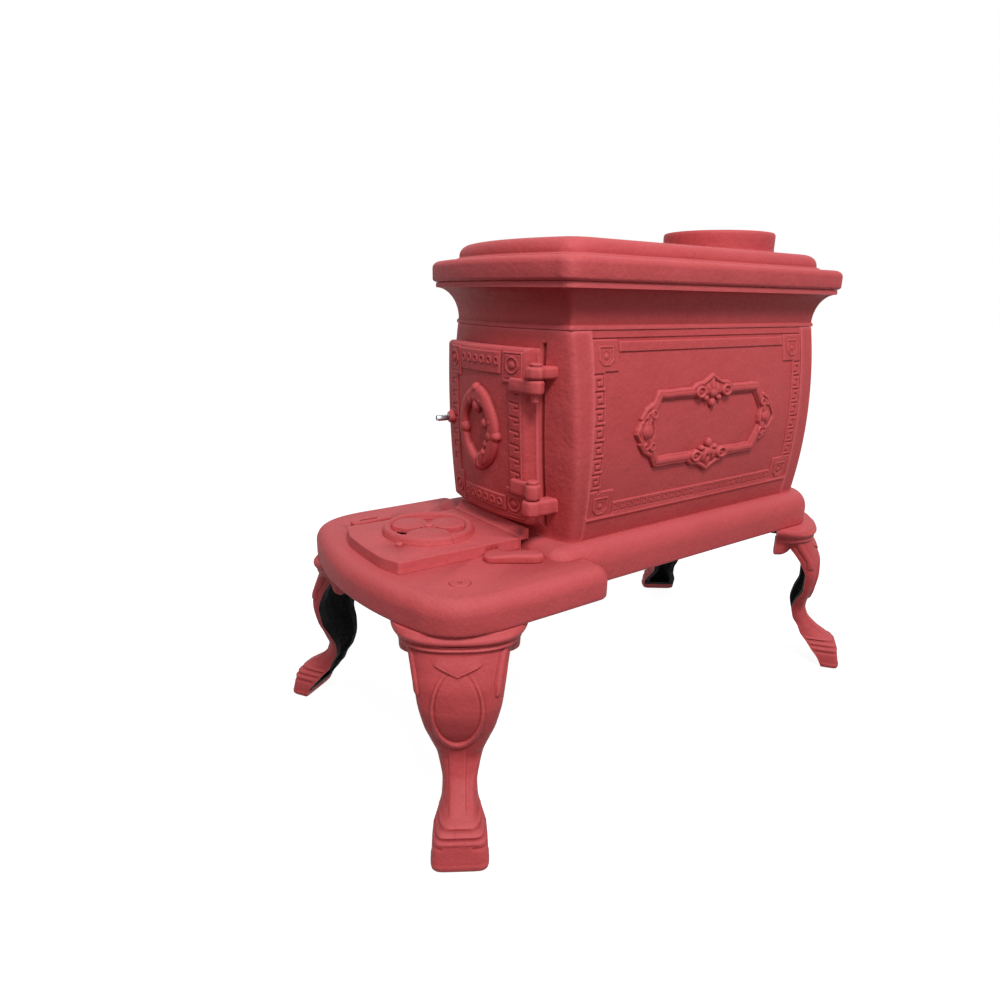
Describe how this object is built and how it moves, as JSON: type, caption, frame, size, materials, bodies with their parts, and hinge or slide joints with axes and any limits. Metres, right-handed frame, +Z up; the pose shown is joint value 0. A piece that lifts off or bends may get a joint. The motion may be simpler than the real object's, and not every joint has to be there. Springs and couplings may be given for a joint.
{
  "type": "cast iron wood stove",
  "caption": "Small box stove with a bowed firebox, hinged door, front hearth with a draft register, flue collar and curved legs.",
  "frame": {"origin": "on the floor under the middle of the bounding box", "axes": "+X to the hinge side of the door, +Y from the hearth to the back, +Z up"},
  "size_m": [0.4264, 0.737, 0.6256],
  "materials": {
    "primer": "matte red-oxide primer on rough casting",
    "primed_fastener": "matte red-oxide primer",
    "bare_steel": "bare turned steel",
    "bare_iron": "dark raw casting"
  },
  "bodies": {
    "stove": {"base": "primer", "leg_front_right": "primer", "leg_front_left": "primer", "leg_rear_right": "primer", "leg_rear_left": "primer", "front_frame": "primer", "rear_panel": "primer", "side_panel_right": "primer", "side_panel_left": "primer", "cornice": "primer", "top_plate": "primer", "flue_collar": "primer", "leg_bolt_right": "primed_fastener", "leg_bolt_left": "primed_fastener", "hinge_pin_upper": "primed_fastener", "hinge_pin_lower": "primed_fastener", "bottom_plate": "bare_iron", "plate_screw_1": "bare_iron", "plate_screw_2": "bare_iron", "plate_screw_3": "bare_iron", "plate_screw_4": "bare_iron", "grate": "bare_iron", "leg_nut_right": "bare_iron", "leg_nut_left": "bare_iron", "leg_screw_right": "bare_iron", "leg_screw_left": "bare_iron", "collar_screw_right": "bare_iron", "collar_screw_left": "bare_iron", "tie_rod_1": "bare_iron", "tie_rod_2": "bare_iron", "tie_rod_3": "bare_iron", "tie_rod_4": "bare_iron", "tie_nut_1": "bare_iron", "tie_nut_2": "bare_iron", "tie_nut_3": "bare_iron", "tie_nut_4": "bare_iron"},
    "door": {"door": "primer", "door_liner": "bare_iron", "liner_screw_1": "bare_iron", "liner_screw_2": "bare_iron"},
    "latch": {"latch_spindle": "bare_steel", "latch_cam": "bare_iron", "latch_nut": "bare_iron"},
    "cover": {"hearth_cover": "primer", "draft_rivet": "bare_iron"},
    "draft": {"draft_disc": "primer"},
    "lid": {"cook_lid": "primer"}
  },
  "joints": [
    {"name": "door_hinge", "type": "hinge", "parent": "stove", "child": "door", "pos_m": [0.089, -0.17946, 0.39], "axis": [0, 0, 1], "range_deg": [0, 120]},
    {"name": "latch_turn", "type": "hinge", "parent": "door", "child": "latch", "pos_m": [-0.071, -0.17146, 0.392], "axis": [0, 1, 0], "range_deg": [0, 90]},
    {"name": "cover_slide", "type": "slide", "parent": "stove", "child": "cover", "axis": [0, -1, 0], "range_m": [0, 0.05]},
    {"name": "draft_spin", "type": "hinge", "parent": "cover", "child": "draft", "pos_m": [-0.008, -0.25546, 0.275], "axis": [0, 0, 1], "range_deg": [-60, 38]},
    {"name": "lid_lift", "type": "slide", "parent": "stove", "child": "lid", "axis": [0, 0, 1], "range_m": [0, 0.05]}
  ]
}
